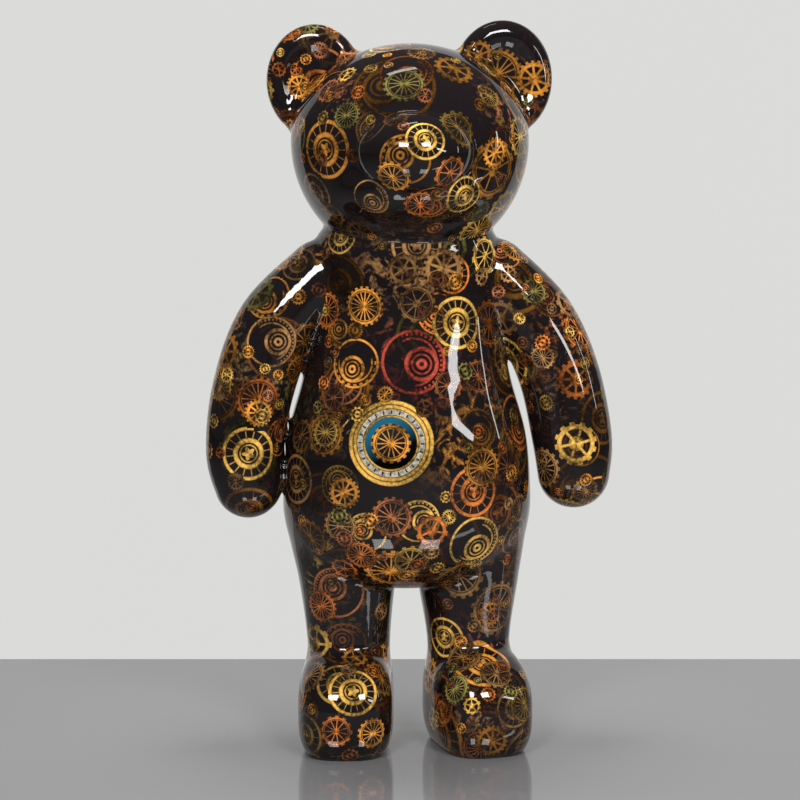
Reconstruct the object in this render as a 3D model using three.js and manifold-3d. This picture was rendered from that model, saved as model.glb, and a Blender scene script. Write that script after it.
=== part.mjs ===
import * as THREE from "three";
import { mergeVertices } from "three/addons/utils/BufferGeometryUtils.js";
import Module from "manifold-3d";

// A standing teddy bear figure as one closed body. Millimetres, +Z up, the front looks
// towards -Y and +X is the right-hand side for somebody who looks at the front. "Left" and
// "right" below are that person's. Lists without a unit are shares of a length beside them.

// The main heights. Everything above the legs moves up when they grow.
const HIP = 350; // floor to the widest section of the torso
const TORSO_RISE = 340; // from there to the neck
const HEAD_RISE = 148; // the neck to the widest section of the head
const NECK = HIP + TORSO_RISE;
const HEAD_MIDDLE = NECK + HEAD_RISE;
const ANKLE = 70; // lower end of the leg, inside the foot

const HEAD = { x: 2, y: -8, z: HEAD_MIDDLE, halfWidth: 162, halfDepth: 150, up: 132, down: 165 };
const MUZZLE_DROP = 4; // the widest section of the muzzle below that of the head
const CHIN_DROP = 52;
const MUZZLE_Z = HEAD_MIDDLE - MUZZLE_DROP;
const CHIN_Z = HEAD_MIDDLE - CHIN_DROP;
const MUZZLE = { x: -1, y: -128, z: MUZZLE_Z, halfWidth: 79, halfDepth: 74, up: 53, down: 68 };
const CHIN = { x: 0, y: -70, z: CHIN_Z, halfWidth: 112, halfDepth: 100, up: 60, down: 60 };

// The ears are round discs with a rounded rim and a shallow hollow in front. They rise from
// the height of the head's middle.
const EAR_LEFT = { x: -126, rise: 80, halfWidth: 66, halfHeight: 77, turn: -8 };
const EAR_RIGHT = { x: 131, rise: 82, halfWidth: 70, halfHeight: 80, turn: 8 };
const EAR_Y = 24;
const EAR_RIM = 16; // half of the thickness, and the rounding of the rim
const EAR_HOLLOW = 8; // depth of the hollow
const EAR_FLOOR = 0.55; // the flat middle of the hollow, as a share of its half width

// The torso is a pear. Its sections are ellipses at even steps from the hip to the neck.
const TORSO = {
  x: -2,
  halfWidth: 171,
  halfDepth: 130,
  belly: -8, // the middle of the lower sections, forwards
  widths: [1, 0.96, 0.829, 0.748, 0.737],
  depths: [1, 0.992, 0.888, 0.796, 0.785],
  bellies: [1, 1, 0.31, 0, 0],
  bottom: 128, // height of the rounded underside
  top: 58, // height of the rounded end inside the head
  fullness: 2.3, // 2 is an ellipse, more is squarer
};

// The limbs are round rods of changing radius along a smooth path.
const SHOULDER = { x: 118, drop: 36 }; // below the neck
const ARM_RADIUS = 56;
const HAND_FORWARD = 18;
const ARM_FORWARD = [0, 0.11, 0.33, 0.67, 1];
const ARM_LEFT = {
  side: -1,
  out: 108, // the shoulder to the farthest point
  down: 285, // the shoulder to the hand's middle
  outs: [0, 0.574, 0.879, 1, 0.952],
  downs: [0, 0.239, 0.54, 0.835, 1],
  radii: [0.89, 0.99, 1, 0.945, 0.83],
};
const ARM_RIGHT = {
  side: 1,
  out: 110,
  down: 273,
  outs: [0, 0.509, 0.818, 0.982, 1],
  downs: [0, 0.234, 0.505, 0.82, 1],
  radii: [0.89, 0.99, 1, 0.99, 0.89],
};
const LEG_RADIUS = 84;
const LEG_DROP = 20; // the upper end of the leg below the hip
const LEG_LEFT = { top: -86, bottom: -81, radii: [1, 0.814, 0.694, 0.667] };
const LEG_RIGHT = { top: 82, bottom: 85, radii: [1, 0.851, 0.694, 0.667] };

// The feet are blunt blocks, wider and lower towards the toes.
const FOOT_LEFT = { x: -85, splay: -5 };
const FOOT_RIGHT = { x: 87, splay: 13 };
const FOOT = {
  heelHalfWidth: 62,
  toeHalfWidth: 69,
  front: 128, // from the leg's centre to the toe
  back: 80, // from the leg's centre to the heel
  z: 56, // height of the widest section
  up: 90, // from there to the top at the heel
  toeDrop: 26, // how much lower the top is at the toe
  toeBend: 1.5, // how late the top turns down; 1 is a straight slope
  down: 76, // from there to the bottom of the rounding, which is below the floor
  fullness: 2.9,
};

const FINISH = { color: "#1d181b", roughness: 0.12, metalness: 0 };

const AROUND = 44; // facets around the head and the torso
const UPWARD = 10; // rings between the middle and the end of a rounded body
const SMALL_AROUND = 28; // facets around the limbs, the feet, the ears and the face
const SMALL_UPWARD = 6;
const HIDDEN_UPWARD = 3; // rings of an end that lies inside another body
const ROD_RINGS = 10;
const EAR_BACK_RINGS = 2;
const EAR_RIM_RINGS = 7;
const EAR_HOLLOW_RINGS = 6;
const TURN = 2 * Math.PI;
const QUARTER = Math.PI / 2;
const UP = new THREE.Vector3(0, 0, 1);
const NEARBY = 0.01; // share of a path over which its direction is taken

const wasm = await Module();
wasm.setup();

// Value of a smooth curve through evenly spaced values; `share` runs from 0 to 1.
function through(values, share) {
  const last = values.length - 1;
  const index = Math.min(Math.floor(share * last), last - 1);
  const at = (k) => values[THREE.MathUtils.clamp(k, 0, last)];
  const [before, from, to, after] = [at(index - 1), at(index), at(index + 1), at(index + 2)];
  const f = share * last - index;
  const bend = 2 * before - 5 * from + 4 * to - after;
  const twist = 3 * (from - to) + after - before;
  return from + 0.5 * f * (to - before + f * (bend + f * twist));
}

// Power that keeps the sign, for squarer sections than an ellipse.
function bulge(value, fullness) {
  return Math.sign(value) * Math.abs(value) ** (2 / fullness);
}

function solid(geometry) {
  geometry.deleteAttribute("normal");
  geometry.deleteAttribute("uv");
  const welded = mergeVertices(geometry);
  return new wasm.Manifold(
    new wasm.Mesh({
      numProp: 3,
      vertProperties: new Float32Array(welded.getAttribute("position").array),
      triVerts: new Uint32Array(welded.getIndex().array),
    }),
  );
}

// Closed skin over a stack of rings, with one point at each end. Seen from the last
// ring, the points of a ring run anticlockwise.
function skin(rings, firstPoint, lastPoint) {
  const count = rings[0].length;
  const points = [firstPoint, ...rings.flat(), lastPoint];
  const at = (row, k) => 1 + row * count + (k % count);
  const faces = [];
  for (let k = 0; k < count; k += 1) {
    faces.push(0, at(0, k + 1), at(0, k));
    for (let row = 0; row < rings.length - 1; row += 1) {
      faces.push(at(row, k), at(row, k + 1), at(row + 1, k));
      faces.push(at(row, k + 1), at(row + 1, k + 1), at(row + 1, k));
    }
    faces.push(at(rings.length - 1, k), at(rings.length - 1, k + 1), points.length - 1);
  }
  const geometry = new THREE.BufferGeometry().setFromPoints(points);
  geometry.setIndex(faces);
  return solid(geometry);
}

function ring(count, place) {
  return Array.from({ length: count }, (_, k) => place((k / count) * TURN));
}

// Angles from just above the lower end to just below the upper end of a rounded body.
function tilts(steps, from = -QUARTER, to = QUARTER) {
  return Array.from({ length: steps - 1 }, (_, k) => from + ((k + 1) / steps) * (to - from));
}

function egg(form, around, upward) {
  const place = (tilt) => (angle) => {
    const height = tilt < 0 ? form.down : form.up;
    return new THREE.Vector3(
      form.x + form.halfWidth * Math.cos(tilt) * Math.cos(angle),
      form.y + form.halfDepth * Math.cos(tilt) * Math.sin(angle),
      form.z + height * Math.sin(tilt),
    );
  };
  const rings = tilts(2 * upward).map((tilt) => ring(around, place(tilt)));
  return skin(rings, place(-QUARTER)(0), place(QUARTER)(0));
}

function torso() {
  const section = (share, z, size) => (angle) =>
    new THREE.Vector3(
      TORSO.x + size * TORSO.halfWidth * through(TORSO.widths, share) * Math.cos(angle),
      TORSO.belly * through(TORSO.bellies, share) +
        size * TORSO.halfDepth * through(TORSO.depths, share) * Math.sin(angle),
      z,
    );
  const cap = (tilt, share, z, height) => {
    const size = bulge(Math.cos(tilt), TORSO.fullness);
    return section(share, z + height * bulge(Math.sin(tilt), TORSO.fullness), size);
  };
  const rings = [];
  for (const tilt of tilts(UPWARD, -QUARTER, 0)) {
    rings.push(ring(AROUND, cap(tilt, 0, HIP, TORSO.bottom)));
  }
  for (let step = 0; step <= UPWARD; step += 1) {
    const share = step / UPWARD;
    rings.push(ring(AROUND, section(share, THREE.MathUtils.lerp(HIP, NECK, share), 1)));
  }
  for (const tilt of tilts(HIDDEN_UPWARD, 0, QUARTER)) {
    rings.push(ring(AROUND, cap(tilt, 1, NECK, TORSO.top)));
  }
  const bottom = section(0, HIP - TORSO.bottom, 0);
  const top = section(1, NECK + TORSO.top, 0);
  return skin(rings, bottom(0), top(0));
}

// Round rod along a smooth path, with half a ball at each end. `centre` and `radius` are
// functions of the share of the way along it.
function rod(centre, radius) {
  const loop = (share, tilt) => {
    const from = centre(Math.max(0, share - NEARBY));
    const along = centre(Math.min(1, share + NEARBY)).sub(from).normalize();
    const back = new THREE.Vector3(0, 1, 0).projectOnPlane(along).normalize();
    const side = back.clone().cross(along);
    const middle = centre(share).addScaledVector(along, radius(share) * Math.sin(tilt));
    const reach = radius(share) * Math.cos(tilt);
    return (angle) =>
      middle
        .clone()
        .addScaledVector(side, reach * Math.cos(angle))
        .addScaledVector(back, reach * Math.sin(angle));
  };
  const rings = tilts(SMALL_UPWARD, -QUARTER, 0).map((tilt) => ring(SMALL_AROUND, loop(0, tilt)));
  for (let step = 0; step <= ROD_RINGS; step += 1) {
    rings.push(ring(SMALL_AROUND, loop(step / ROD_RINGS, 0)));
  }
  rings.push(...tilts(SMALL_UPWARD, 0, QUARTER).map((tilt) => ring(SMALL_AROUND, loop(1, tilt))));
  return skin(rings, loop(0, -QUARTER)(0), loop(1, QUARTER)(0));
}

function arm(form) {
  const centre = (share) =>
    new THREE.Vector3(
      form.side * (SHOULDER.x + form.out * through(form.outs, share)),
      -HAND_FORWARD * through(ARM_FORWARD, share),
      NECK - SHOULDER.drop - form.down * through(form.downs, share),
    );
  return rod(centre, (share) => ARM_RADIUS * through(form.radii, share));
}

function leg(form) {
  const top = new THREE.Vector3(form.top, 0, HIP - LEG_DROP);
  const bottom = new THREE.Vector3(form.bottom, 0, ANKLE);
  const centre = (share) => top.clone().lerp(bottom, share);
  return rod(centre, (share) => LEG_RADIUS * through(form.radii, share));
}

function foot(spot) {
  const halfLength = (FOOT.front + FOOT.back) / 2;
  const middle = (FOOT.back - FOOT.front) / 2;
  const place = (tilt) => (angle) => {
    const size = bulge(Math.cos(tilt), FOOT.fullness);
    const along = -size * bulge(Math.sin(angle), FOOT.fullness); // 1 at the toe, -1 at the heel
    const halfWidth = THREE.MathUtils.lerp(FOOT.heelHalfWidth, FOOT.toeHalfWidth, (1 + along) / 2);
    const up = FOOT.up - FOOT.toeDrop * Math.max(along, 0) ** FOOT.toeBend;
    const point = new THREE.Vector3(
      size * halfWidth * bulge(Math.cos(angle), FOOT.fullness),
      middle - halfLength * along,
      (tilt < 0 ? FOOT.down : up) * bulge(Math.sin(tilt), FOOT.fullness),
    );
    point.applyAxisAngle(UP, THREE.MathUtils.degToRad(spot.splay));
    return point.add(new THREE.Vector3(spot.x, 0, FOOT.z));
  };
  const rings = tilts(2 * SMALL_UPWARD).map((tilt) => ring(SMALL_AROUND, place(tilt)));
  return skin(rings, place(-QUARTER)(0), place(QUARTER)(0));
}

function ear(form) {
  const rimShare = 1 - EAR_RIM / form.halfWidth; // where the rounding of the rim starts
  const floorShare = EAR_FLOOR * rimShare;
  const place = (share, y) => (angle) => {
    const point = new THREE.Vector3(
      form.halfWidth * share * Math.cos(angle),
      y,
      form.halfHeight * share * Math.sin(angle),
    );
    point.applyAxisAngle(UP, THREE.MathUtils.degToRad(form.turn));
    return point.add(new THREE.Vector3(form.x, EAR_Y, HEAD_MIDDLE + form.rise));
  };
  const depth = (share) => EAR_HOLLOW * (1 - THREE.MathUtils.smoothstep(share, floorShare, rimShare));
  const rings = [];
  for (let step = 1; step < EAR_BACK_RINGS; step += 1) {
    rings.push(ring(SMALL_AROUND, place((step / EAR_BACK_RINGS) * rimShare, EAR_RIM)));
  }
  for (let step = 0; step <= EAR_RIM_RINGS; step += 1) {
    const tilt = QUARTER - (step / EAR_RIM_RINGS) * Math.PI;
    const share = rimShare + (EAR_RIM / form.halfWidth) * Math.cos(tilt);
    rings.push(ring(SMALL_AROUND, place(share, EAR_RIM * Math.sin(tilt))));
  }
  for (let step = 1; step < EAR_HOLLOW_RINGS; step += 1) {
    const share = rimShare * (1 - step / EAR_HOLLOW_RINGS);
    rings.push(ring(SMALL_AROUND, place(share, depth(share) - EAR_RIM)));
  }
  return skin(rings, place(0, EAR_RIM)(0), place(0, EAR_HOLLOW - EAR_RIM)(0));
}

const forms = [
  egg(HEAD, AROUND, UPWARD),
  egg(MUZZLE, SMALL_AROUND, SMALL_UPWARD),
  egg(CHIN, SMALL_AROUND, SMALL_UPWARD),
  ...[EAR_LEFT, EAR_RIGHT].map(ear),
  torso(),
  ...[ARM_LEFT, ARM_RIGHT].map(arm),
  ...[LEG_LEFT, LEG_RIGHT].map(leg),
  ...[FOOT_LEFT, FOOT_RIGHT].map(foot),
];
const joined = forms.reduce((sum, form) => sum.add(form));

// Only what is above the floor stays, so that the soles end flat on it.
const SPACE = 4000;
const air = solid(new THREE.BoxGeometry(SPACE, SPACE, SPACE).translate(0, 0, SPACE / 2));
const whole = joined.intersect(air).getMesh();

const geometry = new THREE.BufferGeometry();
geometry.setAttribute("position", new THREE.Float32BufferAttribute(whole.vertProperties, 3));
geometry.setIndex([...whole.triVerts]);

// The origin is on the floor under the middle of the figure's box.
geometry.computeBoundingBox();
const { min, max } = geometry.boundingBox;
geometry.translate(-(min.x + max.x) / 2, -(min.y + max.y) / 2, -min.z);
geometry.computeVertexNormals();

const bear = new THREE.Mesh(geometry, new THREE.MeshStandardMaterial(FINISH));
bear.name = "teddy_bear";

const part = new THREE.Group();
part.add(bear);
export default part;
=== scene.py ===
import math

import bpy
import numpy as np
from mathutils import Matrix, Vector


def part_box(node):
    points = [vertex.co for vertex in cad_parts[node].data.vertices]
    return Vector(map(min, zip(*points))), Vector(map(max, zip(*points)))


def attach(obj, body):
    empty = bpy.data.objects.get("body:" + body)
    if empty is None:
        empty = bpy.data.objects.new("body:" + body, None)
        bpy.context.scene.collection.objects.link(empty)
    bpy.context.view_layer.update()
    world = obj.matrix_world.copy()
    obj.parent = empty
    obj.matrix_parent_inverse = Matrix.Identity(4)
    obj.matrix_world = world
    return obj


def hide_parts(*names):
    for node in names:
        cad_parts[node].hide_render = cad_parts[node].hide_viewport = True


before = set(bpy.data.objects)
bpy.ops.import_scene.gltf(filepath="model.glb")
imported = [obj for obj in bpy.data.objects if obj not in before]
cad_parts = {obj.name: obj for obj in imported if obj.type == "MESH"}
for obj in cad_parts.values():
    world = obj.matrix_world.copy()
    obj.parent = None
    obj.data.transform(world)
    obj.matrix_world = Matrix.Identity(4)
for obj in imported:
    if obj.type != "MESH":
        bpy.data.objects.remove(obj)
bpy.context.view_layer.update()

# The form, in millimetres. +Z up, the front looks towards -Y; "left" and "right" are those of
# somebody who looks at the front. Lists without a unit are shares of a length beside them.
HIP = 350  # floor to the widest section of the torso
TORSO_RISE = 340  # from there to the neck
HEAD_RISE = 148  # the neck to the widest section of the head
NECK = HIP + TORSO_RISE
HEAD_MIDDLE = NECK + HEAD_RISE
ANKLE = 70  # lower end of the leg, inside the foot

MUZZLE_DROP = 4  # the widest section of the muzzle below that of the head
CHIN_DROP = 52
HEAD = {"centre": (2, -8, HEAD_MIDDLE), "size": (162, 150, 132), "down": 165}
MUZZLE = {"centre": (-1, -128, HEAD_MIDDLE - MUZZLE_DROP), "size": (79, 74, 53), "down": 68}
CHIN = {"centre": (0, -70, HEAD_MIDDLE - CHIN_DROP), "size": (112, 100, 60), "down": 60}
EAR_Y = 24
EAR_LEFT = {"x": -126, "rise": 80, "half_width": 66, "half_height": 77, "turn": -8}
EAR_RIGHT = {"x": 131, "rise": 82, "half_width": 70, "half_height": 80, "turn": 8}
EAR_RIM = 16
EAR_HOLLOW = 8
EAR_FLOOR = 0.55
TORSO = {
    "x": -2,
    "half_width": 171,
    "half_depth": 130,
    "belly": -8,
    "widths": [1, 0.96, 0.829, 0.748, 0.737],
    "depths": [1, 0.992, 0.888, 0.796, 0.785],
    "bellies": [1, 1, 0.31, 0, 0],
    "bottom": 128,
    "top": 58,
    "fullness": 2.3,
}
SHOULDER = (118, NECK - 36)  # x and height
ARM_RADIUS = 56
HAND_FORWARD = 18
ARM_FORWARD = [0, 0.11, 0.33, 0.67, 1]
ARM_LEFT = {
    "side": -1,
    "out": 108,
    "down": 285,
    "outs": [0, 0.574, 0.879, 1, 0.952],
    "downs": [0, 0.239, 0.54, 0.835, 1],
    "radii": [0.89, 0.99, 1, 0.945, 0.83],
}
ARM_RIGHT = {
    "side": 1,
    "out": 110,
    "down": 273,
    "outs": [0, 0.509, 0.818, 0.982, 1],
    "downs": [0, 0.234, 0.505, 0.82, 1],
    "radii": [0.89, 0.99, 1, 0.99, 0.89],
}
LEG_RADIUS = 84
LEG_TOP = HIP - 20
LEG_LEFT = {"top": -86, "bottom": -81, "radii": [1, 0.814, 0.694, 0.667]}
LEG_RIGHT = {"top": 82, "bottom": 85, "radii": [1, 0.851, 0.694, 0.667]}
FOOT_LEFT = {"x": -85, "splay": -5}
FOOT_RIGHT = {"x": 87, "splay": 13}
FOOT = {
    "heel_half_width": 62,
    "toe_half_width": 69,
    "front": 128,
    "back": 80,
    "z": 56,
    "up": 90,
    "toe_drop": 26,
    "toe_bend": 1.5,
    "down": 76,
    "fullness": 2.9,
}

# How wide the edges between neighbouring forms are rounded.
EAR_BLEND = 14
FACE_BLEND = 7
LIP_BLEND = 4
LIMB_BLEND = 6
NECK_BLEND = 8
FOOT_BLEND = 10

PITCH = 4.6  # spacing of the grid that the skin is made on
MARGIN = 12  # room around the box of a form
FAR = 1e3  # value of a field far from every form
SHARES = np.linspace(0, 1, 33)  # places along a rod
FOOT_ROOM = 30  # room beyond the toe, in the box of a foot that is turned
SETTLING_ROUNDS = 2  # how often the points are drawn closer to the surface
LEAST_STEEPNESS = 0.25  # squared; keeps those steps short where the field is nearly flat

# The print: clockwork in layers, each motif a disc laid on the skin. Sizes in millimetres.
LAYERS = [
    {"radius": (36, 58), "tries": 700, "light": (0.10, 0.40), "kinds": ("dial", "nest", "wheel")},
    {"radius": (24, 42), "tries": 1600, "light": (0.3, 1.6), "kinds": ("dial", "nest", "wheel")},
    {"radius": (17, 30), "tries": 1600, "light": (0.4, 1.8), "kinds": ("gear", "wheel", "wheel")},
    {"radius": (6, 14), "tries": 1700, "light": (0.3, 1.6), "kinds": ("cog", "gear", "cog")},
]
BLANK = 9.0  # local place of skin that a layer leaves bare
SOFT_EDGE = 0.7  # width over which the edge of a shape fades
UNDER_MOTIF = 0.85  # how much of the ground is hidden behind a motif
KEPT_SHARE = 0.7  # share of a feature's radius that later layers keep clear of
COUNTS = (5, 11)  # teeth and spokes follow a whole number from here up to below the second
CLOCK_TICKS = 24
PRINT_FIELDS = ("place", "style", "paint")  # what each layer stores at every face corner
PRINT_GROUPS = [("torso", "legs"), ("arms",), ("head", "face")]  # a motif stays on one group
FRONT_FACING = -0.3  # a face looks to the front if the y of its normal is less
SAME_SIDE = -0.1  # least cosine between the normals of a motif and of the skin below it
MOTIF_DEPTH = 0.9  # how far a motif bends with the skin, as a share of its radius
NEARLY_LEVEL = 0.9  # from this z of the normal on, "up" on the skin is towards the back
GOLD, AMBER, ORANGE = (0.74, 0.42, 0.08), (0.72, 0.29, 0.04), (0.60, 0.17, 0.03)
COPPER, RED, OLIVE = (0.36, 0.12, 0.04), (0.42, 0.06, 0.035), (0.24, 0.20, 0.05)
CREAM, TEAL, BRONZE = (0.58, 0.52, 0.40), (0.012, 0.12, 0.20), (0.36, 0.18, 0.06)
# A paint that is listed twice is drawn twice as often.
PAINTS = [GOLD, GOLD, AMBER, AMBER, AMBER, ORANGE, ORANGE, COPPER, COPPER, BRONZE, BRONZE, OLIVE]
GLOWS = [ORANGE, RED, OLIVE, TEAL, AMBER, COPPER, COPPER, BRONZE]
GLOW_COUNT = 44
GLOW_RADIUS = (20, 48)
GLOW_LIGHT = (0.3, 0.9)
DENSE_COUNT = 30  # round areas of the skin where the clockwork is crowded and bright
DENSE_RADIUS = (50, 110)
LONELY = 0.06  # share of motifs that are kept outside the crowded areas
DIM = 0.35  # their light, as a share of that of the crowded ones
PRINT_SEED = 11
INK = (0.0085, 0.0058, 0.0068)  # the near-black ground
# Larger pieces listed for the front: layer, kind, x, z, radius, paint.
FEATURES = [
    (1, "clock", -34, 440, 58, GOLD),
    (2, "wheel", -34, 440, 27, AMBER),
    (2, "dial", 58, 600, 36, GOLD),
    (2, "nest", -76, 545, 34, AMBER),
    (2, "wheel", -66, 622, 27, AMBER),
    (2, "dial", 10, 850, 27, GOLD),
    (2, "wheel", 44, 806, 24, ORANGE),
    (2, "wheel", -34, 800, 24, AMBER),
    (2, "wheel", 4, 762, 22, ORANGE),
    (2, "nest", -62, 770, 26, BRONZE),
    (2, "dial", 66, 772, 28, GOLD),
    (2, "gear", 108, 826, 21, AMBER),
    (1, "nest", 0, 548, 44, RED),
    (2, "dial", -222, 420, 37, GOLD),
    (2, "nest", -190, 570, 35, BRONZE),
    (2, "gear", 226, 430, 30, GOLD),
    (2, "dial", -82, 100, 34, GOLD),
    (2, "wheel", -108, 45, 22, ORANGE),
    (2, "wheel", -58, 42, 22, AMBER),
    (2, "nest", 84, 300, 38, GOLD),
    (2, "wheel", -70, 285, 23, ORANGE),
]
# Painted patches on the front: x, z, radius, colour, light.
PATCHES = [
    (-96, 470, 26, GOLD, 1.3),
    (4, 556, 46, RED, 1.5),
    (60, 430, 42, AMBER, 0.9),
    (216, 600, 44, ORANGE, 1.0),
    (120, 380, 34, TEAL, 0.8),
    (-110, 250, 50, OLIVE, 1.2),
    (130, 880, 38, COPPER, 1.6),
    (-95, 905, 26, COPPER, 1.3),
    (92, 90, 44, BRONZE, 1.6),
    (-30, 660, 50, BRONZE, 1.0),
]

# Noise by scale, detail and distortion: the drifts of colour between the motifs, the breaks in
# them, and the worn grain of the metal.
DRIFTS = (42, 6, 2.0)
BREAKS = (150, 4, 1.0)
GRAIN = (240, 3, 0)
# The level that the noise is stretched about, the slope and the offset.
DRIFT_STRETCH = (0.51, 6.0, 0.10)
BREAK_STRETCH = (0.5, 3.5, 0.6)
PAINTED_SHEEN_MIDDLE = 0.85  # mean tone of the metal with its painted sheen
PAINTED_SHEEN_SWING = 0.45  # how far the painted highlight swings round a motif
PAINTED_SHEEN_TURN = 0.15  # where the swing starts, in turns
WEAR = 2.2  # how strongly the grain shows in the metal
LEAST_TONE = 0.2
COVER_GAIN = 4.0  # how soon a dim shape hides what lies under it
DISC_EDGE = 0.97  # share of a motif's radius where its dark ground ends
CUT_SLOPE = 0.8  # how sharply a motif ends where two groups of forms meet
PRINT_ROUGHNESS = 0.45
COAT_ROUGHNESS = 0.035

# Camera and stage, in metres.
CAMERA_YAW = 4.0
CAMERA_TILT = 8.0
CAMERA_DISTANCE = 4.2
PICTURE_PIXELS = 800  # width and height of the picture
PIXEL = 1.377e-3  # what one pixel spans at the figure
PICTURE_CENTRE = (408.0, 386.1)  # pixel that shows the middle of the figure
FIGURE_MIDDLE = (0, 0, 500)  # in millimetres
WALL_Y = 0.525
WALL_HALF = 0.9  # half of its width
WALL_TOP = 1.35
WALL_LIGHT = (0.70, 0.70, 0.685)  # the lit backdrop
FLOOR_NEAR = -7.0
FLOOR_FAR = 7.0
FLOOR_HALF = 8.0
FLOOR_COLOUR = (0.20, 0.20, 0.208)
FLOOR_MIRROR = 0.24  # share of mirroring in the floor
FLOOR_POLISH = 0.025  # roughness of the mirrored part
STAGE_ROUGHNESS = 1.0
BLACK = (0, 0, 0)
ROOM_LIGHT = 0.08

# Lights by place, size and power in watts. They aim at the middle of the figure.
LIGHT_AIM = (0, 0, 0.5)
LIGHTS = {
    "front_left": {"place": (-1.0, -2.5, 2.1), "size": (0.8, 0.8), "power": 50},
    "front_right": {"place": (0.9, -2.5, 2.1), "size": (0.8, 0.8), "power": 50},
    "bar_right": {"place": (1.68, -1.62, 1.02), "size": (0.8, 0.19), "power": 7, "turn": -32},
    "strip_right": {"place": (2.3, -0.25, 0.95), "size": (0.06, 0.6), "power": 1.2},
    "skylight": {"place": (-0.1, 0.25, 2.4), "size": (0.5, 0.1), "power": 1.0},
    "overhead": {"place": (0, 0.1, 2.4), "size": (0.7, 0.45), "power": 28},
    "far_floor": {"place": (0, 0.42, 1.6), "size": (2.4, 0.1), "power": 8},
}
UNMIRRORED = {"overhead", "far_floor"}  # lights without an image of their own in the gloss


def length(*parts):
    return np.sqrt(sum(part * part for part in parts))


def soft_min(a, b, width):
    """The smaller of two fields, with the edge between them rounded."""
    if not width:
        return np.minimum(a, b)
    share = np.clip(0.5 + 0.5 * (b - a) / width, 0, 1)
    return b + (a - b) * share - width * share * (1 - share)


def through(values, share):
    """Smooth curve through evenly spaced values; share runs from 0 to 1."""
    values = np.asarray(values, float)
    last = len(values) - 1
    index = np.minimum((share * last).astype(int), last - 1)
    before, start = values[np.maximum(index - 1, 0)], values[index]
    end, after = values[index + 1], values[np.minimum(index + 2, last)]
    f = share * last - index
    bend = 2 * before - 5 * start + 4 * end - after
    twist = 3 * (start - end) + after - before
    return start + 0.5 * f * (end - before + f * (bend + f * twist))


def turned(x, y, degrees):
    """Coordinates seen from a form that is turned about the vertical."""
    angle = math.radians(degrees)
    return x * math.cos(angle) + y * math.sin(angle), y * math.cos(angle) - x * math.sin(angle)


# Each form is a function of x, y, z that is about the distance to its surface, less than
# 0 inside, with the box it lies in.


def egg(form):
    cx, cy, cz = form["centre"]
    half_width, half_depth, up = form["size"]

    def field(x, y, z):
        x, y, z = x - cx, y - cy, z - cz
        height = np.where(z < 0, form["down"], up)
        ratio = length(x / half_width, y / half_depth, z / height)
        steepness = length(x / half_width**2, y / half_depth**2, z / height**2)
        return ratio * (ratio - 1) / np.maximum(steepness, 1e-6)

    low = (cx - half_width, cy - half_depth, cz - form["down"])
    return field, low, (cx + half_width, cy + half_depth, cz + up)


def pear():
    def field(x, y, z):
        share = np.clip((z - HIP) / (NECK - HIP), 0, 1)
        half_width = TORSO["half_width"] * through(TORSO["widths"], share)
        half_depth = TORSO["half_depth"] * through(TORSO["depths"], share)
        middle = TORSO["belly"] * through(TORSO["bellies"], share)
        around = length((x - TORSO["x"]) / half_width, (y - middle) / half_depth)
        below = (HIP - z) / TORSO["bottom"]
        above = (z - NECK) / TORSO["top"]
        ends = np.maximum(np.maximum(below, above), 0)
        full = TORSO["fullness"]
        return ((around**full + ends**full) ** (1 / full) - 1) * half_depth

    reach = abs(TORSO["x"]) + TORSO["half_width"]
    depth = abs(TORSO["belly"]) + TORSO["half_depth"]
    low = (-reach, -depth, HIP - TORSO["bottom"])
    return field, low, (reach, depth, NECK + TORSO["top"])


def rod(x, y, z, radius):
    """Round rod through evenly spaced points of a path."""
    path = np.stack([x, y, z], 1)

    def field(x, y, z):
        nearest = np.full(x.shape, FAR)
        for start, end, r0, r1 in zip(path[:-1], path[1:], radius[:-1], radius[1:]):
            along = end - start
            dx, dy, dz = x - start[0], y - start[1], z - start[2]
            t = np.clip((dx * along[0] + dy * along[1] + dz * along[2]) / (along @ along), 0, 1)
            gap = length(dx - t * along[0], dy - t * along[1], dz - t * along[2])
            nearest = np.minimum(nearest, gap - r0 - t * (r1 - r0))
        return nearest

    return field, path.min(0) - radius.max(), path.max(0) + radius.max()


def arm(form):
    return rod(
        form["side"] * (SHOULDER[0] + form["out"] * through(form["outs"], SHARES)),
        -HAND_FORWARD * through(ARM_FORWARD, SHARES),
        SHOULDER[1] - form["down"] * through(form["downs"], SHARES),
        ARM_RADIUS * through(form["radii"], SHARES),
    )


def leg(form):
    return rod(
        form["top"] + (form["bottom"] - form["top"]) * SHARES,
        0 * SHARES,
        LEG_TOP + (ANKLE - LEG_TOP) * SHARES,
        LEG_RADIUS * through(form["radii"], SHARES),
    )


def foot(spot):
    half_length = (FOOT["front"] + FOOT["back"]) / 2
    middle = (FOOT["back"] - FOOT["front"]) / 2

    def field(x, y, z):
        across, back = turned(x - spot["x"], y, spot["splay"])
        along = (middle - back) / half_length
        toe = np.clip(0.5 + 0.5 * along, 0, 1)
        half_width = (1 - toe) * FOOT["heel_half_width"] + toe * FOOT["toe_half_width"]
        up = FOOT["up"] - FOOT["toe_drop"] * np.clip(along, 0, 1) ** FOOT["toe_bend"]
        height = np.where(z < FOOT["z"], FOOT["down"], up)
        full = FOOT["fullness"]
        ratio = np.abs(across / half_width) ** full + np.abs(along) ** full
        ratio = (ratio + np.abs((z - FOOT["z"]) / height) ** full) ** (1 / full)
        return (ratio - 1) * FOOT["heel_half_width"]

    reach = FOOT["front"] + FOOT_ROOM
    low = (spot["x"] - reach, -reach, FOOT["z"] - FOOT["down"])
    return field, low, (spot["x"] + reach, reach, FOOT["z"] + FOOT["up"])


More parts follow.
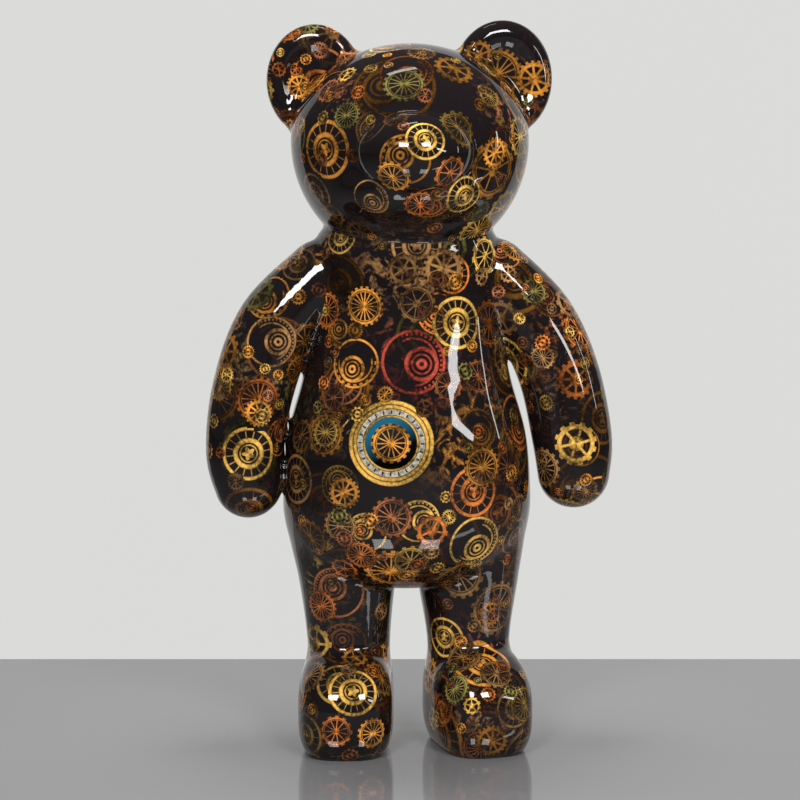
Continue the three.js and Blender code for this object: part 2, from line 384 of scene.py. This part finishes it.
def ear(form):
    cx, cz = form["x"], HEAD_MIDDLE + form["rise"]
    half_width, half_height = form["half_width"], form["half_height"]
    rim_share = 1 - EAR_RIM / half_width
    floor_share = EAR_FLOOR * rim_share

    def field(x, y, z):
        across, back = turned(x - cx, y - EAR_Y, form["turn"])
        share = length(across / half_width, (z - cz) / half_height)
        outside = np.maximum(share - rim_share, 0) * half_width
        rise = np.clip((share - floor_share) / (rim_share - floor_share), 0, 1)
        hollow = EAR_HOLLOW * (1 - rise * rise * (3 - 2 * rise))
        return np.maximum(length(outside, back) - EAR_RIM, hollow - EAR_RIM - back)

    reach = max(half_width, half_height)
    low = (cx - reach, EAR_Y - reach, cz - reach)
    return field, low, (cx + reach, EAR_Y + reach, cz + reach)


PARTS = {
    "torso": [(pear(), 0)],
    "legs": [(leg(form), FOOT_BLEND) for form in (LEG_LEFT, LEG_RIGHT)]
    + [(foot(spot), FOOT_BLEND) for spot in (FOOT_LEFT, FOOT_RIGHT)],
    "arms": [(arm(form), LIMB_BLEND) for form in (ARM_LEFT, ARM_RIGHT)],
    "head": [(egg(HEAD), 0)] + [(ear(form), EAR_BLEND) for form in (EAR_LEFT, EAR_RIGHT)],
    "face": [(egg(MUZZLE), 0), (egg(CHIN), LIP_BLEND)],
}
PART_BLEND = {
    "torso": 0,
    "legs": LIMB_BLEND,
    "arms": LIMB_BLEND,
    "head": NECK_BLEND,
    "face": FACE_BLEND,
}


def part_field(name, x, y, z):
    """Field of one part of the figure; a form is only worked out near its own box."""
    total = np.full(x.shape, FAR)
    for (field, low, high), blend in PARTS[name]:
        near = np.ones(x.shape, bool)
        for value, least, greatest in zip((x, y, z), low, high):
            near &= (value > least - 2 * MARGIN) & (value < greatest + 2 * MARGIN)
        there = field(x[near], y[near], z[near])
        total[near] = soft_min(total[near], there, blend)
    return total


def bear_field(x, y, z):
    total = np.full(x.shape, FAR)
    for name in PARTS:
        total = soft_min(total, part_field(name, x, y, z), PART_BLEND[name])
    return total


def surface(field, low, high, pitch):
    """Quads of the surface where the field is 0, one point in each cell that it crosses."""
    axes = [np.arange(a, b + pitch, pitch) for a, b in zip(low, high)]
    grid = np.meshgrid(*axes, indexing="ij")
    value = field(*[part.ravel() for part in grid]).reshape(grid[0].shape)
    inside = value < 0
    cells = tuple(n - 1 for n in value.shape)
    total = np.zeros((*cells, 3))
    count = np.zeros(cells)
    for axis in range(3):
        ahead = [slice(None)] * 3
        behind = [slice(None)] * 3
        ahead[axis], behind[axis] = slice(1, None), slice(None, -1)
        a, b = value[tuple(behind)], value[tuple(ahead)]
        crossed = (a < 0) != (b < 0)
        share = np.where(crossed, a / np.where(crossed, a - b, 1), 0)
        others = [k for k in range(3) if k != axis]
        for first in (0, 1):
            for second in (0, 1):
                pick = [slice(None)] * 3
                for other, side in zip(others, (first, second)):
                    pick[other] = slice(side, side + cells[other])
                here = crossed[tuple(pick)]
                count += here
                total[..., axis] += here * share[tuple(pick)]
                total[..., others[0]] += here * first
                total[..., others[1]] += here * second
    used = count > 0
    number = np.full(cells, -1)
    number[used] = np.arange(used.sum())
    corner = np.argwhere(used)
    points = (corner + total[used] / count[used][:, None]) * pitch + np.array(low)
    quads = []
    for axis in range(3):
        one, two = (axis + 1) % 3, (axis + 2) % 3
        behind, ahead = [slice(1, -1)] * 3, [slice(1, -1)] * 3
        behind[axis], ahead[axis] = slice(0, -1), slice(1, None)
        a, b = inside[tuple(behind)], inside[tuple(ahead)]
        for flip, change in ((False, a & ~b), (True, ~a & b)):
            place = np.argwhere(change) + 1
            place[:, axis] -= 1
            ring = []
            for du, dv in ((1, 1), (0, 1), (0, 0), (1, 0)):
                cell = place.copy()
                cell[:, one] -= du
                cell[:, two] -= dv
                ring.append(number[cell[:, 0], cell[:, 1], cell[:, 2]])
            quad = np.stack(ring, 1)
            quads.append(quad[:, ::-1] if flip else quad)
    return points, np.concatenate(quads)


def slope(field, points, step=0.5):
    """Direction in which the field grows fastest, with its steepness."""
    sides = []
    for axis in range(3):
        shift = np.zeros(3)
        shift[axis] = step
        ahead = field(*(points + shift).T)
        sides.append((ahead - field(*(points - shift).T)) / (2 * step))
    return np.stack(sides, 1)


def make_skin():
    """Points and quads of the figure's skin, in millimetres."""
    forms = [form for group in PARTS.values() for form, _ in group]
    low = np.min([least for _, least, _ in forms], 0) - MARGIN
    high = np.max([greatest for _, _, greatest in forms], 0) + MARGIN
    points, quads = surface(bear_field, low, high, PITCH)
    for _ in range(SETTLING_ROUNDS):
        steep = slope(bear_field, points)
        step = bear_field(*points.T)[:, None] * steep
        step /= np.maximum((steep**2).sum(1), LEAST_STEEPNESS)[:, None]
        points -= np.clip(step, -PITCH, PITCH)
    points[:, 2] = np.maximum(points[:, 2], 0)  # flat soles on the floor
    return points, quads


def placing(points):
    """Scale and shift that put the form where the solid is, in metres."""
    low, high = [np.array(corner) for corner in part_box("teddy_bear")]
    least, greatest = points.min(0), points.max(0)
    scale = (high[2] - low[2]) / (greatest[2] - least[2])
    shift = (low + high) / 2 - scale * (least + greatest) / 2
    return scale, shift


def add_mesh(name, points, faces):
    mesh = bpy.data.meshes.new(name)
    mesh.vertices.add(len(points))
    mesh.vertices.foreach_set("co", np.asarray(points, np.float32).ravel())
    count = faces.shape[1]
    mesh.loops.add(faces.size)
    mesh.loops.foreach_set("vertex_index", faces.astype(np.int32).ravel())
    mesh.polygons.add(len(faces))
    mesh.polygons.foreach_set("loop_start", np.arange(0, faces.size, count, dtype=np.int32))
    mesh.update(calc_edges=True)
    mesh.validate()
    thing = bpy.data.objects.new(name, mesh)
    bpy.context.scene.collection.objects.link(thing)
    return thing


def corner_fields(points):
    """Fields of the groups of forms that the print is cut between, at the given points."""
    values = []
    for names in PRINT_GROUPS:
        values.append(np.min([part_field(name, *points.T) for name in names], 0))
    return np.stack(values, 1)


def group_cuts(fields):
    """How far each group is ahead of the nearest other one; less than 0 off the group."""
    order = np.sort(fields, 1)
    is_nearest = np.arange(fields.shape[1]) == fields.argmin(1)[:, None]
    return np.where(is_nearest, order[:, 1:2], order[:, :1]) - fields


def face_normals(points, quads):
    a, b, c, d = points[quads.T]
    normals = np.cross(c - a, d - b)
    return normals / np.maximum(np.linalg.norm(normals, axis=1, keepdims=True), 1e-9)


def tangent(normal):
    """Directions to the right and up on the skin, for somebody who looks at it."""
    up = np.array((0.0, 0.0, 1.0)) if abs(normal[2]) < NEARLY_LEVEL else np.array((0.0, 1.0, 0.0))
    up -= normal * (up @ normal)
    up /= np.linalg.norm(up)
    return np.cross(up, normal), up


def crowding(points, chance):
    """How crowded the clockwork is at each point, from 0 to 1."""
    crowd = np.zeros(len(points))
    for _ in range(DENSE_COUNT):
        middle = points[chance.integers(len(points))]
        radius = chance.uniform(*DENSE_RADIUS)
        crowd = np.maximum(crowd, np.exp(-(((points - middle) ** 2).sum(1) / radius**2)))
    return crowd


def front_face(centres, normals, x, z):
    """Number of the face that is seen at x and z from the front."""
    gap = length(centres[:, 0] - x, centres[:, 2] - z)
    gap += np.where(normals[:, 1] < FRONT_FACING, 0, FAR)
    return int(gap.argmin())


def choose_motifs(chance, plan, features, kept, centres, crowd):
    """Face, kind, radius and paint of the motifs of one layer, the features first."""
    chosen = list(features)
    for face in chance.integers(0, len(centres), plan["tries"]):
        if chance.uniform() > crowd[face] + LONELY:
            continue
        radius = chance.uniform(*plan["radius"])
        others = [(centres[other], reach) for other, _, reach, _ in chosen] + kept
        if any(np.linalg.norm(place - centres[face]) < reach + radius for place, reach in others):
            continue
        light = chance.uniform(*plan["light"]) * (DIM + (1 - DIM) * crowd[face])
        paint = np.array(PAINTS[chance.integers(len(PAINTS))]) * light
        chosen.append((face, str(chance.choice(plan["kinds"])), radius, paint))
    return chosen


def lay_print(points, quads):
    """Local places, styles and paints of the motifs of each layer, at every face corner."""
    chance = np.random.default_rng(PRINT_SEED)
    centres = points[quads].mean(1)
    normals = face_normals(points, quads)
    fields = corner_fields(points)
    cuts = group_cuts(fields)
    crowd = crowding(centres, chance)
    layers, kept = [], []
    for number, plan in enumerate(LAYERS):
        place = np.full((*quads.shape, 3), BLANK)
        place[..., 2] = -BLANK
        style = np.zeros((*quads.shape, 3))
        paint = np.zeros((*quads.shape, 3))
        features = [
            (front_face(centres, normals, x, z), kind, radius, np.array(colour))
            for layer, kind, x, z, radius, colour in FEATURES
            if layer == number
        ]
        motifs = choose_motifs(chance, plan, features, kept, centres, crowd)
        for face, kind, radius, colour in motifs:
            middle, normal = centres[face], normals[face]
            near = np.linalg.norm(centres - middle, axis=1) < radius + PITCH
            near &= normals @ normal > SAME_SIDE
            near &= np.abs((centres - middle) @ normal) < MOTIF_DEPTH * radius
            group = fields[quads[face]].mean(0).argmin()
            near &= cuts[quads, group].max(1) > 0
            right, up = tangent(normal)
            turn = chance.uniform(0, 2 * math.pi)
            across = right * math.cos(turn) + up * math.sin(turn)
            along = up * math.cos(turn) - right * math.sin(turn)
            offset = points[quads[near]] - middle
            flat = offset - (offset @ normal)[..., None] * normal
            spread = np.linalg.norm(offset, axis=2) / np.maximum(np.linalg.norm(flat, axis=2), 1e-6)
            place[near, :, 0] = (flat @ across) * spread / radius
            place[near, :, 1] = (flat @ along) * spread / radius
            place[near, :, 2] = cuts[quads[near], group]
            style[near] = (KINDS.index(kind), int(chance.integers(*COUNTS)), SOFT_EDGE / radius)
            paint[near] = colour
        kept += [(centres[face], KEPT_SHARE * radius) for face, _, radius, _ in features]
        layers.append((place, style, paint))
    return layers


def lay_glows(points):
    """Soft patches of colour under the clockwork, at every point."""
    chance = np.random.default_rng(PRINT_SEED + 1)
    spots = []
    for x, z, radius, colour, light in PATCHES:
        gap = length(points[:, 0] - x, points[:, 2] - z) + np.where(points[:, 1] < 0, 0, FAR)
        spots.append((points[gap.argmin()], radius, np.array(colour) * light))
    for _ in range(GLOW_COUNT):
        colour = np.array(GLOWS[chance.integers(len(GLOWS))]) * chance.uniform(*GLOW_LIGHT)
        spots.append((points[chance.integers(len(points))], chance.uniform(*GLOW_RADIUS), colour))
    glow = np.zeros((len(points), 3))
    for middle, radius, colour in spots:
        glow += np.exp(-((points - middle) ** 2).sum(1) / radius**2)[:, None] * colour
    return glow


def add_attribute(mesh, name, values, domain):
    layer = mesh.attributes.new(name, "FLOAT_VECTOR", domain)
    layer.data.foreach_set("vector", np.asarray(values, np.float32).ravel())


class Value:
    """A number worked out by shader nodes, written with the usual signs."""

    tree = None

    def __init__(self, socket):
        self.socket = socket

    @staticmethod
    def work(operation, *inputs, clamp=False):
        node = Value.tree.nodes.new("ShaderNodeMath")
        node.operation = operation
        for place, value in zip(node.inputs, inputs):
            if isinstance(value, Value):
                Value.tree.links.new(value.socket, place)
            else:
                place.default_value = value
        if not clamp:
            return Value(node.outputs[0])
        # A node of its own: the clamp inside a math node is worked out late, and with many of
        # them the renderer runs out of room for the values that wait.
        limit = Value.tree.nodes.new("ShaderNodeClamp")
        Value.tree.links.new(node.outputs[0], limit.inputs["Value"])
        return Value(limit.outputs[0])

    def __add__(self, other):
        return Value.work("ADD", self, other)

    def __sub__(self, other):
        return Value.work("SUBTRACT", self, other)

    def __rsub__(self, other):
        return Value.work("SUBTRACT", other, self)

    def __mul__(self, other):
        return Value.work("MULTIPLY", self, other)

    def __truediv__(self, other):
        return Value.work("DIVIDE", self, other)

    def __rtruediv__(self, other):
        return Value.work("DIVIDE", other, self)

    __radd__ = __add__
    __rmul__ = __mul__


def most(*values):
    total = values[0]
    for value in values[1:]:
        total = Value.work("MAXIMUM", total, value)
    return total


def length_of(across, along):
    return Value.work("SQRT", across * across + along * along)


def line(value, rise, offset):
    """Straight line of the value, kept between 0 and 1."""
    return Value.work("MULTIPLY_ADD", value, rise, offset, clamp=True)


def stretched(value, level, rise, offset):
    return line(value - level, rise, offset)


def cosine(turns):
    return Value.work("COSINE", turns * (2 * math.pi))


def split(vector):
    node = Value.tree.nodes.new("ShaderNodeSeparateXYZ")
    Value.tree.links.new(vector, node.inputs[0])
    return [Value(output) for output in node.outputs]


def mixed(share, first, second, blend="MIX"):
    """Colour socket between two colours; a share of 1 gives the second."""
    node = Value.tree.nodes.new("ShaderNodeMix")
    node.data_type = "RGBA"
    node.blend_type = blend
    inputs = [socket for socket in node.inputs if socket.type == "RGBA"]
    Value.tree.links.new(share.socket, node.inputs["Factor"])
    for place, colour in zip(inputs, (first, second)):
        if isinstance(colour, tuple):
            place.default_value = (*colour, 1)
        else:
            Value.tree.links.new(colour, place)
    return [socket for socket in node.outputs if socket.type == "RGBA"][0]


def noise(position, scale, detail, distortion):
    node = Value.tree.nodes.new("ShaderNodeTexNoise")
    node.inputs["Scale"].default_value = scale
    node.inputs["Detail"].default_value = detail
    node.inputs["Distortion"].default_value = distortion
    Value.tree.links.new(position, node.inputs["Vector"])
    return Value(node.outputs[0])


class Motif:
    """A motif on its disc of radius 1: where a spot lies, and the bands that shapes are made of."""

    def __init__(self, place, style):
        self.u, self.v, self.cut = split(place)
        self.kind, self.count, soft = split(style)
        self.sharp = 1 / most(soft, 0.001)
        self.radius = length_of(self.u, self.v)
        self.angle = Value.work("ARCTAN2", self.v, self.u) * (0.5 / math.pi)
        wave = cosine(self.angle * self.count * 2)
        self.tooth = line(wave, 2.5, 0.5)
        self.teeth = self.between(self.radius, 0.80, 0.88 + 0.12 * self.tooth) * 0.75

    def is_a(self, kind):
        return Value.work("COMPARE", self.kind, float(KINDS.index(kind)), 0.5)

    def under(self, value, edge):
        return line(edge - value, self.sharp, 0.5)

    def between(self, value, low, high):
        return self.under(value, high) * self.under(low, value)

    def ring(self, low, high, value=None):
        """Band with painted shading: bright along its middle and dark at its edges, as light falls
        on a round bar.
        """
        value = value or self.radius
        off = (value - (low + high) / 2) * (2 / (high - low))
        # painted shading across the band, as on a round bar
        painted_round_light = line(off * off, -0.62, 1.0)
        return self.between(value, low, high) * painted_round_light

    def beside(self, spokes):
        """Distance to the nearest of evenly spaced radial lines."""
        turn = Value.work("FRACT", self.angle * spokes + 0.5) - 0.5
        return Value.work("ABSOLUTE", turn) * self.radius * (2 * math.pi) / spokes

    def bars(self, spokes, half):
        return self.ring(-half, half, self.beside(spokes))


# The motifs, whose rings and bars carry painted shading as on round metal. Their numbers are shares
# of the disc's radius, and of full brightness.


def wheel(motif):
    """Thin toothed rim on many spokes."""
    rim = most(motif.teeth * 0.9, motif.ring(0.78, 0.90), motif.ring(0.70, 0.76) * 0.7)
    spokes = motif.bars(motif.count * 1.5 + 2, 0.035) * motif.under(motif.radius, 0.74)
    return most(rim, spokes, motif.ring(0.10, 0.22))


def gear(motif):
    """Broad toothed rim on a few thick spokes."""
    spokes = motif.bars(motif.count, 0.07) * motif.under(motif.radius, 0.70)
    hub = most(motif.ring(0.06, 0.26), 0.5 * motif.between(motif.radius, 0.26, 0.34))
    return most(motif.teeth, motif.ring(0.66, 0.86), spokes, hub)


def dial(motif):
    """Rings with fine ticks and a boss in the middle."""
    ticks = motif.bars(motif.count * 2, 0.026) * motif.between(motif.radius, 0.58, 0.84) * 0.55
    rings = most(motif.ring(0.86, 1.0), motif.ring(0.40, 0.58), motif.ring(0.28, 0.35) * 0.7)
    boss = motif.under(motif.radius, 0.20 + 0.05 * cosine(motif.angle * 5))
    return most(rings, ticks, boss * 0.8)


def cog(motif):
    """Small toothed disc with slots."""
    slots = motif.between(motif.radius, 0.44, 0.66)
    slots *= 1 - motif.under(motif.beside(motif.count), 0.09)
    disc = motif.under(motif.radius, 0.80 + 0.16 * motif.tooth)
    disc *= 1 - motif.under(motif.radius, 0.12)
    disc *= 1 - slots
    # Painted relief: the bands are painted lighter than the disc around them, and shaded like round
    # bars.
    return disc * (0.45 + 0.55 * most(motif.ring(0.68, 0.92), motif.ring(0.14, 0.40)))


def nest(motif):
    """Rings inside one another and off the middle, one of them toothed on one side."""
    aside = length_of(motif.u - 0.22, motif.v + 0.12)
    half = line(cosine(motif.angle), 4.0, 1.2)
    cogs = line(cosine(motif.angle * motif.count * 4), 2.0, 0.5)
    outer = most(motif.ring(0.90, 1.0), motif.between(motif.radius, 0.82, 0.90) * cogs * half * 0.8)
    inner = most(motif.ring(0.40, 0.54, aside), motif.ring(0.26, 0.33, aside) * 0.8)
    return most(outer, inner, motif.ring(0.06, 0.18, aside), motif.ring(0.68, 0.76) * half)


def clock(motif):
    """Bezel of the large dial; its pale ring and blue face are coloured apart."""
    return most(motif.ring(0.90, 1.0), motif.ring(0.80, 0.89), motif.ring(0.60, 0.65) * 0.8)


SHAPES = {"wheel": wheel, "gear": gear, "dial": dial, "cog": cog, "nest": nest, "clock": clock}
KINDS = list(SHAPES)


def clock_face(motif, grain, colour):
    """Colour with the clock's pale ring and blue face on it, and where those two are."""
    is_clock = motif.is_a("clock")
    ticks = motif.bars(CLOCK_TICKS, 0.022) * motif.between(motif.radius, 0.68, 0.77)
    pale = is_clock * motif.between(motif.radius, 0.66, 0.79) * (1 - ticks)
    blue = is_clock * motif.under(motif.radius, 0.60)
    worn = line(grain, 2.4, -0.5)
    colour = mixed(pale * worn, colour, CREAM)
    lit = line(motif.u + motif.v, 1.1, 0.35)
    return mixed(blue * lit, colour, TEAL), pale, blue


def motif_group(kinds):
    """Node group that draws one motif of the given kinds from its local place, style and paint."""
    tree = bpy.data.node_groups.new("motif", "ShaderNodeTree")
    for name in PRINT_FIELDS:
        tree.interface.new_socket(name, in_out="INPUT", socket_type="NodeSocketVector")
    tree.interface.new_socket("grain", in_out="INPUT", socket_type="NodeSocketFloat")
    tree.interface.new_socket("colour", in_out="OUTPUT", socket_type="NodeSocketColor")
    for name in ("cover", "disc"):
        tree.interface.new_socket(name, in_out="OUTPUT", socket_type="NodeSocketFloat")
    start, end = tree.nodes.new("NodeGroupInput"), tree.nodes.new("NodeGroupOutput")
    Value.tree = tree
    motif = Motif(start.outputs["place"], start.outputs["style"])
    total = most(0.0, 0.0)
    for kind in kinds:
        total += motif.is_a(kind) * SHAPES[kind](motif)
    inside = line(motif.cut, CUT_SLOPE, 0.5)

    # Painted highlight: a sheen painted round the rings as light runs on turned metal, over a worn
    # grain that is the metal's own.
    grain = Value(start.outputs["grain"])
    painted_sheen = PAINTED_SHEEN_MIDDLE + PAINTED_SHEEN_SWING * cosine(motif.angle * 2 + PAINTED_SHEEN_TURN)
    # painted sheen and the metal's worn grain together, times the shapes' brightness
    sheen_and_wear = most(painted_sheen + WEAR * (grain - 0.5), LEAST_TONE) * total
    scaled = tree.nodes.new("ShaderNodeVectorMath")
    scaled.operation = "SCALE"
    tree.links.new(start.outputs["paint"], scaled.inputs[0])
    tree.links.new(sheen_and_wear.socket, scaled.inputs["Scale"])
    colour, shown = scaled.outputs[0], total
    if "clock" in kinds:
        colour, pale, blue = clock_face(motif, grain, colour)
        shown = most(total, pale, blue)
    cover = Value.work("MULTIPLY", shown, COVER_GAIN, clamp=True)
    tree.links.new(colour, end.inputs["colour"])
    tree.links.new((cover * inside).socket, end.inputs["cover"])
    tree.links.new((motif.under(motif.radius, DISC_EDGE) * inside).socket, end.inputs["disc"])
    return tree


def shader(material):
    material.use_nodes = True
    return material.node_tree.nodes["Principled BSDF"]


def print_material():
    material = bpy.data.materials.new("print")
    bsdf = shader(material)
    tree = material.node_tree
    groups = []
    for number, plan in enumerate(LAYERS):
        placed = {kind for layer, kind, *_ in FEATURES if layer == number}
        groups.append(motif_group(sorted(placed.union(plan["kinds"]))))
    Value.tree = tree

    def attribute(name):
        node = tree.nodes.new("ShaderNodeAttribute")
        node.attribute_name = name
        return node.outputs["Vector"]

    position = tree.nodes.new("ShaderNodeTexCoord").outputs["Object"]
    drifts = stretched(noise(position, *DRIFTS), *DRIFT_STRETCH)
    streaks = drifts * stretched(noise(position, *BREAKS), *BREAK_STRETCH)
    ground = mixed(streaks, INK, attribute("glow"), "ADD")
    grain = noise(position, *GRAIN)
    for number, group in enumerate(groups):
        node = tree.nodes.new("ShaderNodeGroup")
        node.node_tree = group
        for name in PRINT_FIELDS:
            tree.links.new(attribute(f"{name}_{number}"), node.inputs[name])
        tree.links.new(grain.socket, node.inputs["grain"])
        ground = mixed(Value(node.outputs["disc"]) * UNDER_MOTIF, ground, INK)
        ground = mixed(Value(node.outputs["cover"]), ground, node.outputs["colour"])
    tree.links.new(ground, bsdf.inputs["Base Color"])
    bsdf.inputs["Roughness"].default_value = PRINT_ROUGHNESS
    bsdf.inputs["Specular IOR Level"].default_value = 0.0
    bsdf.inputs["Coat Weight"].default_value = 1.0
    bsdf.inputs["Coat Roughness"].default_value = COAT_ROUGHNESS
    return material


def make_plane(name, corners, colour):
    plane = add_mesh(name, corners, np.array([[0, 1, 2, 3]]))
    material = bpy.data.materials.new(name)
    bsdf = shader(material)
    bsdf.inputs["Base Color"].default_value = (*colour, 1)
    bsdf.inputs["Roughness"].default_value = STAGE_ROUGHNESS
    plane.data.materials.append(material)
    return plane


def make_stage():
    yaw = math.radians(CAMERA_YAW)

    def seen(across, away, z):
        """A point of the stage, which is square to the camera."""
        x = across * math.cos(yaw) + away * math.sin(yaw)
        return (x, away * math.cos(yaw) - across * math.sin(yaw), z)

    def across_stage(half, away, z):
        return [seen(-half, away, z), seen(half, away, z)]

    near, far = across_stage(FLOOR_HALF, FLOOR_NEAR, 0), across_stage(FLOOR_HALF, FLOOR_FAR, 0)
    ground = make_plane("floor", near + far[::-1], FLOOR_COLOUR)
    polish(ground.data.materials[0].node_tree)
    low, high = across_stage(WALL_HALF, WALL_Y, 0), across_stage(WALL_HALF, WALL_Y, WALL_TOP)
    backdrop = make_plane("wall", low + high[::-1], BLACK)
    tree = backdrop.data.materials[0].node_tree
    bsdf = tree.nodes["Principled BSDF"]
    bsdf.inputs["Emission Color"].default_value = (*WALL_LIGHT, 1)
    bsdf.inputs["Emission Strength"].default_value = 1.0
    # The wall is clear from behind, so that it doesn't hide the figure's back.
    mix = blend_in(tree, tree.nodes.new("ShaderNodeBsdfTransparent"))
    tree.links.new(tree.nodes.new("ShaderNodeNewGeometry").outputs["Backfacing"], mix.inputs["Fac"])


def blend_in(tree, second):
    """Mixes a second shader into the material's first one, and gives the mixing node."""
    mix = tree.nodes.new("ShaderNodeMixShader")
    tree.links.new(tree.nodes["Principled BSDF"].outputs[0], mix.inputs[1])
    tree.links.new(second.outputs[0], mix.inputs[2])
    tree.links.new(mix.outputs[0], tree.nodes["Material Output"].inputs["Surface"])
    return mix


def polish(tree):
    """Lets the floor mirror a small share of what stands on it."""
    glossy = tree.nodes.new("ShaderNodeBsdfGlossy")
    glossy.inputs["Roughness"].default_value = FLOOR_POLISH
    blend_in(tree, glossy).inputs["Fac"].default_value = FLOOR_MIRROR


def add_light(name, place, size, power, turn=0):
    light = bpy.data.lights.new(name, "AREA")
    light.shape = "RECTANGLE"
    light.size, light.size_y = size
    light.energy = power
    lamp = bpy.data.objects.new(name, light)
    facing = (Vector(LIGHT_AIM) - Vector(place)).to_track_quat("-Z", "Y").to_matrix().to_4x4()
    own_turn = Matrix.Rotation(math.radians(turn), 4, "Z")
    lamp.matrix_world = Matrix.Translation(place) @ facing @ own_turn
    lamp.visible_glossy = name not in UNMIRRORED
    bpy.context.scene.collection.objects.link(lamp)


def make_lights():
    for name, plan in LIGHTS.items():
        add_light(name, **plan)
    world = bpy.data.worlds.new("studio")
    world.use_nodes = True
    background = world.node_tree.nodes["Background"]
    background.inputs["Color"].default_value = (1, 1, 1, 1)
    background.inputs["Strength"].default_value = ROOM_LIGHT
    bpy.context.scene.world = world


def make_camera(scale, shift):
    yaw, tilt = math.radians(CAMERA_YAW), math.radians(CAMERA_TILT)
    flat = math.cos(tilt)
    forward = Vector((math.sin(yaw) * flat, math.cos(yaw) * flat, -math.sin(tilt)))
    camera = bpy.data.cameras.new("camera")
    camera.lens = camera.sensor_width * CAMERA_DISTANCE / (PICTURE_PIXELS * PIXEL)
    camera.shift_x = (PICTURE_PIXELS / 2 - PICTURE_CENTRE[0]) / PICTURE_PIXELS
    camera.shift_y = (PICTURE_CENTRE[1] - PICTURE_PIXELS / 2) / PICTURE_PIXELS
    eye = bpy.data.objects.new("camera", camera)
    target = Vector(np.array(FIGURE_MIDDLE) * scale + shift)
    eye.location = target - forward * CAMERA_DISTANCE
    eye.rotation_euler = forward.to_track_quat("-Z", "Y").to_euler()
    bpy.context.scene.collection.objects.link(eye)
    bpy.context.scene.camera = eye


points, quads = make_skin()
scale, shift = placing(points)
bear = add_mesh("bear", points * scale + shift, quads)
bear.data.shade_smooth()
for number, layer in enumerate(lay_print(points, quads)):
    for name, values in zip(PRINT_FIELDS, layer):
        add_attribute(bear.data, f"{name}_{number}", values, "CORNER")
add_attribute(bear.data, "glow", lay_glows(points), "POINT")
bear.data.materials.append(print_material())
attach(bear, "root")
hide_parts("teddy_bear")
make_stage()
make_lights()
make_camera(scale, shift)
bpy.context.scene.view_settings.view_transform = "Standard"
